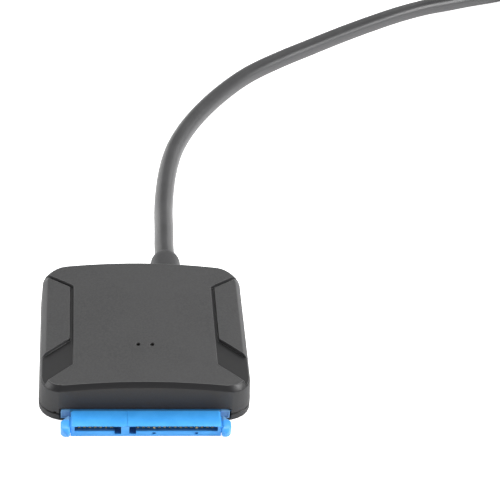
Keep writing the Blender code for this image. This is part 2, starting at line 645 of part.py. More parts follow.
def make_socket_body():
    under_wall = WALL_FRONT - FIT
    root = WALL_FRONT + 0.7 * BASE_DEPTH
    over_sill = BASE_BOTTOM + 0.1 * MM
    section = [(MOUTH, TONGUE_BOTTOM), (under_wall, TONGUE_BOTTOM), (under_wall, over_sill),
               (root, over_sill), (root, TONGUE_TOP), (MOUTH, TONGUE_TOP)]
    body = extruded("drive_socket_body", section, -TONGUE_WIDTH / 2, TONGUE_WIDTH / 2, "x", socket_plastic())
    cut(body, side_chamfer(-1), side_chamfer(1))
    half = BASE_WIDTH / 2
    outline = [(-half, BASE_BOTTOM), (half, BASE_BOTTOM), (half, BASE_TOP - BASE_CHAMFER),
               (half - BASE_CHAMFER, BASE_TOP), (BASE_CHAMFER - half, BASE_TOP), (-half, BASE_TOP - BASE_CHAMFER)]
    base = extruded("socket_base", outline, WALL_FRONT, BASE_BACK, "y")
    wide = FLANGE_WIDTH / 2
    narrow = half - 0.2 * MM
    plan = [(-narrow, BASE_BACK - 0.4 * MM), (narrow, BASE_BACK - 0.4 * MM), (narrow, BASE_BACK + 0.1 * MM),
            (wide, BASE_BACK + 0.6 * FLANGE_DEPTH), (wide, FLANGE_BACK), (-wide, FLANGE_BACK),
            (-wide, BASE_BACK + 0.6 * FLANGE_DEPTH), (-narrow, BASE_BACK + 0.1 * MM)]
    flange = extruded("socket_flange", plan, FLANGE_BOTTOM, BASE_TOP + FLANGE_RISE, "z")
    join(body, base, flange, ear_web(-1), ear_web(1), ear(-1), ear(1))
    cut(body, base_panel(-1), base_panel(1))
    cut(body, slot_tool("signal_slot", SIGNAL_SLOT, SIGNAL_LEG), slot_tool("power_slot", POWER_SLOT, POWER_LEG))
    past = 0.2 * MM
    cut(body, lead_in("signal_lead_in", SIGNAL_SLOT[0], SIGNAL_LEG[0] + past, SLOT_BOTTOM),
        lead_in("power_lead_in", POWER_LEG[1] - past, POWER_SLOT[1], SLOT_BOTTOM))
    for number in EARLY_POWER_CONTACTS:
        x = FIRST_POWER_CONTACT + (number - 1) * CONTACT_PITCH
        cut(body, box(f"lip_hole_{number}", (x - LIP_HOLE_WIDTH / 2, MOUTH - MM, LIP_HOLE_LEVEL - LIP_HOLE_HEIGHT / 2),
                      (x + LIP_HOLE_WIDTH / 2, MOUTH + 3 * MM, LIP_HOLE_LEVEL + LIP_HOLE_HEIGHT / 2)))
    divider = (SIGNAL_SLOT[1] + POWER_SLOT[0]) / 2
    cut(body, box("top_groove", (divider - TOP_GROOVE_WIDTH / 2, MOUTH - MM, TONGUE_TOP - TOP_GROOVE_DEPTH),
                  (divider + TOP_GROOVE_WIDTH / 2, WALL_FRONT - 0.2 * MM, TONGUE_TOP + MM)))
    cut(body, channels_tool())
    return body


def strip_outline(path, thickness):
    """Both faces of a bent strip, from its middle line."""
    points = [Vector(p) for p in path]
    upper, lower = [], []
    for i, point in enumerate(points):
        before = (point - points[i - 1]).normalized() if i else (points[1] - point).normalized()
        after = (points[i + 1] - point).normalized() if i + 1 < len(points) else before
        along = (before + after).normalized()
        normal = Vector((-along.y, along.x)) * thickness / 2 / max(0.5, along.dot(after))
        upper.append(point + normal)
        lower.append(point - normal)
    return [tuple(p) for p in upper + lower[::-1]]


def make_drive_contacts():
    """Each strip lies on the board, runs through its channel and bends down into the slot."""
    foot = PART_LEVEL + CONTACT_THICKNESS / 2
    dip = CONTACT_HEIGHT - CONTACT_DIP
    board_front = FLANGE_BACK + BOARD_FRONT_GAP
    for name, x, reach in contact_places():
        tip = MOUTH + CONTACT_SETBACK - reach
        path = [(tip, CONTACT_HEIGHT + 0.1 * MM), (tip + 0.2 * MM, dip + 0.12 * MM), (tip + 0.5 * MM, dip),
                (tip + 1.1 * MM, dip + 0.1 * MM), (MOUTH + 0.9 * SLOT_DEPTH, CONTACT_HEIGHT),
                (FLANGE_BACK + 0.1 * MM, CONTACT_HEIGHT), (board_front - 0.25 * MM, foot),
                (board_front + CONTACT_FOOT, foot)]
        outline = strip_outline(path, CONTACT_THICKNESS)
        extruded(name, outline, x - CONTACT_WIDTH / 2, x + CONTACT_WIDTH / 2, "x", gold_plate())


# Board and its parts

def make_circuit_board():
    half = BOARD_WIDTH / 2
    front = FLANGE_BACK + BOARD_FRONT_GAP
    back = WALL_BACK - LIP_INSIDE - BOARD_BACK_GAP
    jack_half = JACK_WIDTH / 2 + 2 * FIT
    jack_front = WALL_BACK - SIDE_WALL - JACK_LENGTH - 2 * FIT
    corner = PLAN_RADIUS
    outline = [(-half, front), (half, front), (half, back - corner), (half - corner, back),
               (JACK_X + jack_half, back), (JACK_X + jack_half, jack_front),
               (JACK_X - jack_half, jack_front), (JACK_X - jack_half, back - corner / 2),
               (-half, back - corner)]
    board = extruded("circuit_board", outline, BOARD_BOTTOM, BOARD_TOP, "z", board_laminate())
    for side in (-1, 1):
        for row, y in enumerate(POST_ROWS):
            radius = PIN_RADIUS + FIT
            profile = [(0, 0), (radius, 0), (radius, 2 * BOARD_TOP), (0, 2 * BOARD_TOP)]
            cut(board, turned(f"board_hole_{side}_{row}", profile, (side * POST_X, HOUSING_Y + y, 0), "z", steps=16))
    return board


def package_box(name, centre, size, clear, finish):
    """A box on the board, lifted by its clearance."""
    x, y = centre
    width, depth, height = size
    return box(name, (x - width / 2, HOUSING_Y + y - depth / 2, PART_LEVEL + clear),
               (x + width / 2, HOUSING_Y + y + depth / 2, PART_LEVEL + height), finish)


def make_board_parts():
    soften(package_box("bridge_chip", *BRIDGE_CHIP, 0, chip_plastic()), 0.1 * MM, 1)
    soften(package_box("crystal_can", *CRYSTAL_CAN, 0, bright_metal()), 0.2 * MM, 1)
    soften(package_box("power_inductor", *POWER_INDUCTOR, 0, chip_plastic()), 0.8 * MM, 1)
    legged_chip("flash_chip", *FLASH_CHIP, *FLASH_LEGS)
    legged_chip("regulator_chip", *REGULATOR_CHIP, *REGULATOR_LEGS)
    lens = material("indicator_lens", (0.85, 0.85, 0.7), 0.3)
    for number, side in enumerate((-1, 1), 1):
        place = (side * INDICATOR_SPACING / 2, INDICATOR_ROW)
        soften(package_box(f"indicator_{number}", place, INDICATOR_SIZE, 0, lens), 0.1 * MM, 1)
    outermost = max(abs(x) for x, y in CAPACITOR_PLACES) + CAPACITOR_RADIUS
    top = under_roof(outermost) - PART_LEVEL
    radius = CAPACITOR_RADIUS
    for number, (x, y) in enumerate(CAPACITOR_PLACES, 1):
        profile = [(0, 0), (radius, 0), (radius, top - 1.2 * MM), (radius - 0.25 * MM, top - 1.0 * MM),
                   (radius, top - 0.8 * MM), (radius, top - 0.3 * MM), (radius - 0.3 * MM, top), (0, top)]
        turned(f"capacitor_{number}", profile, (x, HOUSING_Y + y, PART_LEVEL), "z", bright_metal(), 20)


def legged_chip(name, centre, size, legs, pitch):
    """A flat package whose legs come out of both long sides and turn down to the board."""
    x, y = centre
    width, depth, height = size
    leg_thickness = 0.16 * MM
    leg_half = 0.2 * MM
    body = package_box(name, centre, size, 0.2 * MM, chip_plastic())
    middle = PART_LEVEL + 0.55 * height
    foot = PART_LEVEL + leg_thickness / 2
    for side in (-1, 1):
        for number in range(legs):
            place = HOUSING_Y + y + (number - (legs - 1) / 2) * pitch
            path = [(x + side * (width / 2 - 0.3 * MM), middle), (x + side * (width / 2 + 0.35 * MM), middle),
                    (x + side * (width / 2 + 0.55 * MM), foot), (x + side * (width / 2 + 1.1 * MM), foot)]
            outline = strip_outline(path, leg_thickness)
            leg = extruded(f"{name}_leg_{side}_{number}", outline, place - leg_half, place + leg_half, "y")
            join(body, leg)
    return body


def make_power_jack():
    back = WALL_BACK - SIDE_WALL - FIT
    front = back - JACK_LENGTH
    low = JACK_LEVEL - JACK_HEIGHT / 2
    body = box("power_jack_body", (JACK_X - JACK_WIDTH / 2, front, low),
               (JACK_X + JACK_WIDTH / 2, back, low + JACK_HEIGHT), chip_plastic())
    face = WALL_BACK - 0.2 * MM
    collar = [(0, face), (JACK_COLLAR / 2, face), (JACK_COLLAR / 2, back - MM), (0, back - MM)]
    join(body, turned("jack_collar", collar, (JACK_X, 0, JACK_LEVEL), "y"))
    flare = 0.2 * MM
    bore = JACK_BORE / 2
    mouth = [(0, face + flare), (bore + 2 * flare, face + flare), (bore, face - flare),
             (bore, face - JACK_BORE_DEPTH), (0, face - JACK_BORE_DEPTH)]
    pin_room = JACK_PIN / 2 + FIT
    rear = [(0, back), (pin_room, back), (pin_room, front - MM), (0, front - MM)]
    spring_half = JACK_SPRING_WIDTH / 2 + FIT
    spring_room = box("jack_spring_room", (JACK_X - spring_half, front - MM, low - MM),
                      (JACK_X + spring_half, face - 2.6 * MM, JACK_LEVEL - JACK_BORE / 2 + 0.3 * MM))
    cut(body, turned("jack_bore", mouth, (JACK_X, 0, JACK_LEVEL), "y"),
        turned("jack_pin_room", rear, (JACK_X, 0, JACK_LEVEL), "y", steps=16), spring_room)
    radius = JACK_PIN / 2
    tip = face - 1.0 * MM
    pin = [(0, tip), (0.5 * radius, tip - 0.1 * MM), (radius, tip - 0.6 * MM), (radius, front - FIT),
           (1.6 * radius, front - FIT), (1.6 * radius, front - 0.9 * MM), (0, front - 0.9 * MM)]
    turned("power_jack_pin", pin, (JACK_X, 0, JACK_LEVEL), "y", bright_metal(), 20)
    level = JACK_LEVEL - JACK_BORE / 2 - 0.15 * MM
    path = [(face - 3.2 * MM, level), (face - 4.4 * MM, level + 0.7 * MM), (face - 6.0 * MM, level),
            (front + FIT, level)]
    extruded("power_jack_spring", strip_outline(path, CONTACT_THICKNESS), JACK_X - JACK_SPRING_WIDTH / 2,
             JACK_X + JACK_SPRING_WIDTH / 2, "x", bright_metal())


# Strain relief and cable

def make_strain_relief():
    """Revolved boot: a flange inside the wall, a neck through it, a cylinder and a domed end."""
    outer = BOOT_DIAMETER / 2
    flange = under_roof(CABLE_X) - CABLE_LEVEL
    neck = BOOT_NECK / 2
    bore = CABLE_DIAMETER / 2 + FIT
    inside = WALL_BACK - SIDE_WALL - FIT
    outside = WALL_BACK + FIT
    dome_start = WALL_BACK + BOOT_CYLINDER
    end = WALL_BACK + BOOT_REACH
    profile = [(0, inside - BOOT_FLANGE), (flange, inside - BOOT_FLANGE), (flange, inside), (neck, inside),
               (neck, outside), (outer - 0.2 * MM, outside), (outer, outside + 0.2 * MM), (outer, dome_start)]
    depth = end - dome_start
    steps = 6
    final = acos((bore + 0.15 * MM) / outer)
    for step in range(1, steps + 1):
        angle = final * step / steps
        profile.append((outer * cos(angle), dome_start + depth * sin(angle) / sin(final)))
    profile += [(bore, end), (bore, end - BOOT_SOCKET), (0, end - BOOT_SOCKET)]
    return turned("strain_relief", profile, (CABLE_X, 0, CABLE_LEVEL), "y", cable_jacket(), 28)


def cable_route():
    """Points along the middle of the cable, from the boot over the surface to the coil."""
    start = WALL_BACK + BOOT_REACH - BOOT_SOCKET + FIT
    floor = CABLE_DIAMETER / 2
    points = [(CABLE_X, start, CABLE_LEVEL)]
    points += [(x * MM, y * MM, z * MM) for x, y, z in CABLE_DESCENT]
    points += [(x * MM, y * MM, floor) for x, y in CABLE_LAID]
    heading = (cos(COIL_HEADING), sin(COIL_HEADING))
    points.append((COIL_ENTRY[0] - COIL_CLEAR * heading[0], COIL_ENTRY[1] - COIL_CLEAR * heading[1],
                   COIL_BOTTOM + CABLE_DIAMETER / 2))
    return points


def smooth_path(route, spacing):
    """Points at even steps on a smooth curve through the route."""
    points = [Vector(p) for p in route]
    made = [points[0]]
    for i in range(len(points) - 1):
        here, there = points[i], points[i + 1]
        before = points[i - 1] if i else here - (there - here)
        after = points[i + 2] if i + 2 < len(points) else there + (there - here)
        reach = (there - here).length / 3
        first = here + (there - before).normalized() * reach
        second = there - (after - here).normalized() * reach
        steps = max(2, ceil((there - here).length / spacing) + 1)
        made += interpolate_bezier(here, first, second, there, steps)[1:]
    return made


def cable_tube(name, route, finish, radius, spacing):
    curve = bpy.data.curves.new(name, "CURVE")
    curve.dimensions = "3D"
    curve.bevel_depth = radius
    curve.bevel_resolution = 3
    curve.use_fill_caps = True
    points = smooth_path(route, spacing)
    spline = curve.splines.new("POLY")
    spline.points.add(len(points) - 1)
    for point, place in zip(spline.points, points):
        point.co = (*place, 1)
    curve.materials.append(finish)
    item = bpy.data.objects.new(name, curve)
    bpy.context.collection.objects.link(item)
    return item


def make_cable():
    radius = CABLE_DIAMETER / 2
    cable_tube("cable", cable_route(), cable_jacket(), radius, 2.6 * CABLE_DIAMETER)
    top = COIL_BOTTOM + (COIL_LAYERS - 0.5) * CABLE_DIAMETER
    plug_end = PLUG_BACK + FIT
    tail = [(PLUG_X, COIL_CENTRE[1] - COIL_CLEAR, top - 0.6 * MM),
            (PLUG_X, COIL_CENTRE[1] - 0.62 * TAIL_LENGTH, 0.45 * top + 0.55 * PLUG_LEVEL),
            (PLUG_X, plug_end, PLUG_LEVEL)]
    cable_tube("cable_tail", tail, cable_jacket(), radius, 2.2 * CABLE_DIAMETER)


def make_coil():
    """The wound length: a ring of the turns' outer shape, two layers high."""
    radius = CABLE_DIAMETER / 2
    low = COIL_BOTTOM + radius
    high = COIL_BOTTOM + (COIL_LAYERS - 0.5) * CABLE_DIAMETER
    profile = []
    steps = 6
    for step in range(steps + 1):
        angle = pi * step / steps
        profile.append((COIL_RADIUS + radius * cos(angle), high + radius * sin(angle)))
    for step in range(steps + 1):
        angle = pi + pi * step / steps
        profile.append((COIL_RADIUS + radius * cos(angle), low + radius * sin(angle)))
    turned("cable_coil", profile, (COIL_CENTRE[0], COIL_CENTRE[1], 0), "z", cable_jacket(), 40)


def make_tie():
    """A flat strap closed round both layers of the coil."""
    spare = FIT + 0.2 * MM
    half = CABLE_DIAMETER / 2 + spare
    low = TIE_THICKNESS
    high = COIL_BOTTOM + COIL_LAYERS * CABLE_DIAMETER + FIT
    inner = rounded_outline([(-half, low), (half, low), (half, high), (-half, high)], 1.2 * MM, 3)
    half += TIE_THICKNESS
    outer = rounded_outline([(-half, 0), (half, 0), (half, high + TIE_THICKNESS),
                             (-half, high + TIE_THICKNESS)], 2.0 * MM, 3)
    tie = extruded("cable_tie", outer, -TIE_WIDTH / 2, TIE_WIDTH / 2, "y",
                   material("tie_fabric", (0.03, 0.03, 0.03), 0.8))
    hole = extruded("tie_hole", inner, -TIE_WIDTH, TIE_WIDTH, "y")
    cut(tie, hole)
    for item in (tie, hole):
        item.location = (COIL_CENTRE[0] + COIL_RADIUS * cos(TIE_ANGLE),
                         COIL_CENTRE[1] + COIL_RADIUS * sin(TIE_ANGLE), 0)
        item.rotation_euler.z = TIE_ANGLE


def make_core_wires():
    """Four insulated cores from the boot to their pads on the board."""
    colours = {"power_wire": (0.5, 0.02, 0.02), "ground_wire": (0.02, 0.02, 0.02),
               "send_wire": (0.02, 0.12, 0.5), "receive_wire": (0.7, 0.7, 0.65)}
    start = WALL_BACK - SIDE_WALL - 2 * FIT - BOOT_FLANGE
    for number, (name, colour) in enumerate(colours.items()):
        x = CABLE_X + (number - 1.5) * 1.4 * MM
        pad = PART_LEVEL + CORE_RADIUS
        route = [(x, start, CABLE_LEVEL), (x, start - 1.6 * MM, CABLE_LEVEL - 0.5 * MM),
                 (x, start - 4.0 * MM, pad), (x, start - 6.0 * MM, pad)]
        cable_tube(name, route, material(name, colour, 0.5), CORE_RADIUS, 2.0 * MM)


# Host plug

def plug_box(name, width, back, front, low, high, finish=None):
    return box(name, (PLUG_X - width / 2, front, low), (PLUG_X + width / 2, back, high), finish)


def make_host_plug():
    width, length, height = PLUG_COVER
    shell_width, shell_length, shell_height = PLUG_SHELL
    cover_back = PLUG_BACK - PLUG_NECK_LENGTH
    seat = PLUG_FRONT + PLUG_SHELL_SEAT
    cover = plug_box("host_plug_cover", width, cover_back, PLUG_FRONT, 0, height, housing_plastic())
    soften(cover, 0.8 * MM, 3)
    small = CABLE_DIAMETER / 2 + 0.5 * MM
    large = PLUG_NECK_DIAMETER / 2
    neck = [(0, PLUG_BACK), (small, PLUG_BACK), (large, cover_back + MM), (large, cover_back - 2 * MM),
            (0, cover_back - 2 * MM)]
    join(cover, turned("plug_neck", neck, (PLUG_X, 0, PLUG_LEVEL), "y", steps=24))
    pocket_half = shell_height / 2 + FIT
    cut(cover, plug_box("plug_pocket", shell_width + 2 * FIT, seat, PLUG_FRONT - MM,
                        PLUG_LEVEL - pocket_half, PLUG_LEVEL + pocket_half))
    low = PLUG_LEVEL - shell_height / 2
    high = PLUG_LEVEL + shell_height / 2
    shell_back = seat - FIT
    shell_front = PLUG_FRONT - shell_length
    shell = plug_box("host_plug_shell", shell_width, shell_back, shell_front, low, high, bright_metal())
    wall = PLUG_SHELL_WALL
    cut(shell, plug_box("plug_shell_room", shell_width - 2 * wall, shell_back + MM, shell_front - MM,
                        low + wall, high - wall))
    for side in (-1, 1):
        x = PLUG_X + side * 3.1 * MM
        cut(shell, box(f"shell_window_{side}", (x - 1.2 * MM, shell_front + 5.0 * MM, low - MM),
                       (x + 1.2 * MM, shell_front + 7.2 * MM, high + MM)))
    inside_half = shell_width / 2 - wall - FIT
    inside_low = low + wall + FIT
    inside_high = high - wall - FIT
    tongue_front = shell_front + PLUG_TONGUE_SETBACK
    step = PLUG_FRONT - 6 * MM
    section = [(shell_back - MM, inside_low), (shell_back - MM, inside_high), (tongue_front, inside_high),
               (tongue_front, inside_high - PLUG_TONGUE), (step, inside_high - PLUG_TONGUE), (step, inside_low)]
    tongue = extruded("host_plug_tongue", section, PLUG_X - inside_half, PLUG_X + inside_half, "x",
                      socket_plastic())
    make_plug_contacts(tongue, inside_high - PLUG_TONGUE, tongue_front, step)


def make_plug_contacts(tongue, face, tongue_front, step):
    """Four long contacts near the tip and five short ones behind them, each in its own groove."""
    groups = ((4, 2.3 * MM, 1.0 * MM, tongue_front + 0.8 * MM, tongue_front + 6.6 * MM),
              (5, 2.0 * MM, 0.8 * MM, tongue_front + 8.0 * MM, step - 0.6 * MM))
    number = 1
    for count, pitch, width, front, back in groups:
        for index in range(count):
            x = PLUG_X + (index - (count - 1) / 2) * pitch
            low, high = face - 0.02 * MM, face + 0.23 * MM
            gap = 0.2 * MM
            cut(tongue, box(f"plug_groove_{number}", (x - width / 2 - gap, front - gap, face - MM),
                            (x + width / 2 + gap, back + gap, high + gap)))
            box(f"host_plug_contact_{number}", (x - width / 2, front, low), (x + width / 2, back, high),
                gold_plate())
            number += 1


def main():
    clear_scene()
    make_top_cover()
    make_bottom_cover()
    make_socket_body()
    make_drive_contacts()
    make_circuit_board()
    make_board_parts()
    make_power_jack()
    make_strain_relief()
    make_core_wires()
    make_cable()
    make_coil()
    make_tie()
    make_host_plug()


main()
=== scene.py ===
from math import acos, cos, pi, radians, sin

import bmesh
import bpy
import numpy as np
from mathutils import Matrix, Vector


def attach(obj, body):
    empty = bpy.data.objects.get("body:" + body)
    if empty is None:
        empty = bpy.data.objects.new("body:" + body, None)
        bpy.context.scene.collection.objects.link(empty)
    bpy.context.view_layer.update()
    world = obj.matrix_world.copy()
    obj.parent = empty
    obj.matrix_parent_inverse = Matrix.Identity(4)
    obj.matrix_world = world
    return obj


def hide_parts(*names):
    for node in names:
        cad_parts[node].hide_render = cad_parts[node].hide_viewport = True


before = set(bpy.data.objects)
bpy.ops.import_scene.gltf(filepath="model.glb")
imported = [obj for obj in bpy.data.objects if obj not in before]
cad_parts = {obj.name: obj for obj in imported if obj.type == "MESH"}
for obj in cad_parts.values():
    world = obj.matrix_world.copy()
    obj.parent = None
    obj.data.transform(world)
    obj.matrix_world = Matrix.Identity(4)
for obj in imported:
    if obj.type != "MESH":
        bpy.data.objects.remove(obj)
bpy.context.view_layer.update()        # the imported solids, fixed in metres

# Hard drive adapter cable: the finish of its covers, socket, cable and plug.
# Lengths are in metres, and mm turns a size on the object into metres. Angles are in degrees.

mm = 0.001


# Meshes from numpy arrays

def meshObject(name, points, faces, material):
    # an object at the origin whose place is in its mesh
    mesh = bpy.data.meshes.new(name)
    mesh.from_pydata(np.asarray(points).reshape(-1, 3).tolist(), [], [list(map(int, f)) for f in faces])
    mesh.materials.append(material)
    mesh.shade_smooth()
    made = bpy.data.objects.new(name, mesh)
    bpy.context.collection.objects.link(made)
    return made


def ringFaces(rows, sides):
    # quads between neighbouring rings of points
    row, column = np.meshgrid(np.arange(rows - 1), np.arange(sides), indexing="ij")
    here = row * sides + column
    beside = row * sides + (column + 1) % sides
    return np.stack([here, beside, beside + sides, here + sides], axis=-1).reshape(-1, 4).tolist()


def sweptTube(name, centres, radius, sides, material):
    # a circle carried along a path: at each path point it stands across the path's direction, and
    # its points are counted from the spoke that lies level
    tangent = np.gradient(centres, axis=0)
    tangent /= np.linalg.norm(tangent, axis=1, keepdims=True)
    level = np.cross(tangent, [0.0, 0.0, 1.0])
    level /= np.linalg.norm(level, axis=1, keepdims=True)
    rise = np.cross(level, tangent)
    turn = np.linspace(0, 2 * pi, sides, endpoint=False)
    ring = level[:, None] * np.cos(turn)[None, :, None] + rise[:, None] * np.sin(turn)[None, :, None]
    lastRing = (len(centres) - 1) * sides
    ends = [list(range(sides))[::-1], list(range(lastRing, lastRing + sides))]
    points = centres[:, None] + ring * radius
    made = meshObject(name, points, ringFaces(len(centres), sides) + ends, material)
    work = bmesh.new()
    work.from_mesh(made.data)
    bmesh.ops.recalc_face_normals(work, faces=work.faces)
    work.to_mesh(made.data)
    work.free()
    return made


def turnedSolid(name, profile, centre, direction, sides, material, sharp):
    # a profile of (radius, distance) turned about an axis through centre, closed where the radius is 0
    axis = np.asarray(direction, float)
    across = np.array([1.0, 0.0, 0.0]) if abs(axis[0]) < 0.5 else np.array([0.0, 1.0, 0.0])
    turn = np.linspace(0, 2 * pi, sides, endpoint=False)
    spokes = np.outer(np.cos(turn), across) + np.outer(np.sin(turn), np.cross(axis, across))
    points = (np.asarray(centre, float) + profile[:, 1, None, None] * axis
              + profile[:, 0, None, None] * spokes[None])
    made = meshObject(name, points, ringFaces(len(profile), sides), material)
    closePoles(made.data, sharp)
    return made


def closePoles(mesh, sharp, same=1e-7):
    # points in one place become one, faces turn outwards, and edges past the angle stay sharp
    work = bmesh.new()
    work.from_mesh(mesh)
    bmesh.ops.remove_doubles(work, verts=work.verts, dist=same)
    bmesh.ops.dissolve_degenerate(work, edges=work.edges, dist=same)
    bmesh.ops.recalc_face_normals(work, faces=work.faces)
    work.to_mesh(mesh)
    work.free()
    mesh.shade_smooth()
    mesh.set_sharp_from_angle(angle=radians(sharp))


def joinFrame(made, slot, *nodes):
    # a piece on the one body, in place of those solids
    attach(made, "root")
    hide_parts(*nodes)


# What the moulded copies share where a piece says nothing else: points nearer than same become one,
# faces within flat are joined, then points nearer than smallest become one, and edges past sharp
# stay sharp and get a round of that many segments
shellWork = dict(same=0.001 * mm, smallest=0.001 * mm, flat=0.4, sharp=32, segments=2)


def easedShell(name, node, slot, material, form, reshape=None):
    # a moulded piece over its own solid: the solid's triangles are merged and joined where they
    # are flat, its corners stay sharp in the shading, and each sharp edge gets a small round;
    # reshape, where given, moves the copy's points by a formula
    form = {**shellWork, **form}
    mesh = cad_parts[node].data.copy()
    work = bmesh.new()
    work.from_mesh(mesh)
    bmesh.ops.remove_doubles(work, verts=work.verts, dist=form["same"])
    if form["flat"]:
        bmesh.ops.dissolve_limit(work, angle_limit=radians(form["flat"]), verts=work.verts, edges=work.edges)
    bmesh.ops.remove_doubles(work, verts=work.verts, dist=form["smallest"])
    work.to_mesh(mesh)
    work.free()
    if reshape:
        points = np.array([v.co for v in mesh.vertices])
        mesh.vertices.foreach_set("co", reshape(points).ravel())
    mesh.materials.clear()
    mesh.materials.append(material)
    mesh.shade_smooth()
    mesh.set_sharp_from_angle(angle=radians(form["sharp"]))
    made = bpy.data.objects.new(name, mesh)
    bpy.context.collection.objects.link(made)
    if form["edge"]:
        bevel = made.modifiers.new("edgeRound", "BEVEL")
        bevel.width = form["edge"]
        bevel.segments = form["segments"]
        bevel.limit_method = "ANGLE"
        bevel.angle_limit = radians(form["sharp"])
        bevel.use_clamp_overlap = False
    evenShade = made.modifiers.new("evenShade", "WEIGHTED_NORMAL")
    evenShade.keep_sharp = True
    joinFrame(made, slot, node)
    return made


# Shader maths as Python expressions

class ShaderValue:
    # a shader socket that adds its Math nodes when it meets an operator

    def __init__(self, look, socket):
        self.look = look
        self.socket = socket

    def math(self, operation, *others):
        return self.look.node("ShaderNodeMath", {"operation": operation}, self, *others).out()

    def __add__(self, other):
        return self.math("ADD", other)

    def __mul__(self, other):
        return self.math("MULTIPLY", other)

    def __sub__(self, other):
        return self.math("SUBTRACT", other)

    def __rsub__(self, other):
        return self * -1 + other

    __radd__ = __add__
    __rmul__ = __mul__

    def ramp(self, low, high, fromValue=0.0, toValue=1.0):
        # smooth change from one value to another as the socket goes from low to high
        return self.look.node("ShaderNodeMapRange", {"interpolation_type": "SMOOTHSTEP"},
                              self, low, high, fromValue, toValue).out()

    def band(self, start, full, fade, end):
        # 0 up to start, 1 from full to fade, and 0 again past end
        return self.ramp(start, full) * self.ramp(fade, end, 1.0, 0.0)

    def past(self, near, far):
        # 0 up to near and 1 from far on, on both sides of the middle
        return (self * self).ramp(near ** 2, far ** 2)


class NodeHandle:
    def __init__(self, look, node):
        self.look = look
        self.node = node

    def out(self, which=0):
        return ShaderValue(self.look, self.node.outputs[which])


class Finish:
    # one material: a Principled shader and the nodes that feed it

    def __init__(self, name, **fixed):
        self.material = bpy.data.materials.new(name)
        self.material.use_nodes = True
        self.tree = self.material.node_tree
        self.shader = self.tree.nodes["Principled BSDF"]
        for key, value in fixed.items():
            self.set(key.replace("_", " "), value)

    def feed(self, socket, value):
        if isinstance(value, ShaderValue):
            self.tree.links.new(value.socket, socket)
        else:
            socket.default_value = value

    def set(self, key, value):
        self.feed(self.shader.inputs[key], value)

    def node(self, kind, settings=None, *values, **named):
        # a node of that kind: its settings first, then its sockets by order or by name
        made = self.tree.nodes.new(kind)
        for key, value in (settings or {}).items():
            setattr(made, key, value)
        for socket, value in zip(made.inputs, values):
            self.feed(socket, value)
        for key, value in named.items():
            self.feed(made.inputs[key], value)
        return NodeHandle(self, made)

    def split(self, vector):
        parts = self.node("ShaderNodeSeparateXYZ", None, vector)
        return parts.out("X"), parts.out("Y"), parts.out("Z")

    def place(self):
        return self.node("ShaderNodeTexCoord").out("Object")

    def facing(self):
        # the surface's direction, in three parts
        return self.split(self.node("ShaderNodeNewGeometry").out("Normal"))

    def noise(self, size, detail=2.0, roughness=0.5, place=None):
        # noise from 0 to 1 whose blots are about that size across
        return self.node("ShaderNodeTexNoise", {"noise_dimensions": "3D"}, place or self.place(),
                         Scale=1 / size, Detail=detail, Roughness=roughness).out("Fac")

    def blend(self, factor, first, second):
        made = self.node("ShaderNodeMix", {"data_type": "RGBA"}, factor).node
        for which, colour in (("A", first), ("B", second)):
            socket = [s for s in made.inputs if s.name == which and s.type == "RGBA"][0]
            self.feed(socket, colour if isinstance(colour, ShaderValue) else (*colour, 1))
        return ShaderValue(self, [s for s in made.outputs if s.type == "RGBA"][0])

    def mottled(self, cloud, first, second):
        # two close shades in the blots of a noise
        return self.blend(cloud.ramp(0.3, 0.7), first, second)

    def withPaintedSideSheen(self, sides, crest):
        # painted sheen: one shade on upright sides, where the side light falls, and another where the
        # surface faces up or down
        tilt = self.facing()[2].math("ABSOLUTE")
        return self.blend(tilt.ramp(0.25, 0.95), sides, crest)

    def grained(self, grain, roughness, depth):
        # a grain sets the roughness, between its two values, and the relief
        self.set("Roughness", grain.ramp(0.2, 0.8, *roughness))
        return self.relief(grain, depth, 0.5)

    def relief(self, height, depth, strength):
        # bends the normal as if the surface rose by height times depth, which ends the material
        self.set("Normal", self.node("ShaderNodeBump", None, Strength=strength, Distance=depth,
                                     Height=height).out("Normal"))
        return self.material


# Camera at the photograph's viewing angle

cameraView = dict(place=(-0.01956, -0.32696, 0.29488), heading=7.63, pitch=38.0, roll=5.27,
                  lens=126.25, sensor=36.0, nearest=0.01)


def addCamera(view):
    # looks along a heading right of +Y and a pitch below level, then turned about its own axis
    heading, pitch, roll = (radians(view[k]) for k in ("heading", "pitch", "roll"))
    ahead = Vector((sin(heading) * cos(pitch), cos(heading) * cos(pitch), -sin(pitch)))
    level = Vector((cos(heading), -sin(heading), 0))
    above = level.cross(ahead)
    right = level * cos(roll) + above * sin(roll)
    up = above * cos(roll) - level * sin(roll)
    data = bpy.data.cameras.new("viewCamera")
    data.lens = view["lens"]
    data.sensor_width = view["sensor"]
    data.clip_start = view["nearest"]
    made = bpy.data.objects.new("viewCamera", data)
    made.matrix_world = Matrix((
        (right.x, up.x, -ahead.x, view["place"][0]),
        (right.y, up.y, -ahead.y, view["place"][1]),
        (right.z, up.z, -ahead.z, view["place"][2]),
        (0, 0, 0, 1)))
    bpy.context.collection.objects.link(made)
    bpy.context.scene.camera = made


addCamera(cameraView)
print("camera placed")


# Cable

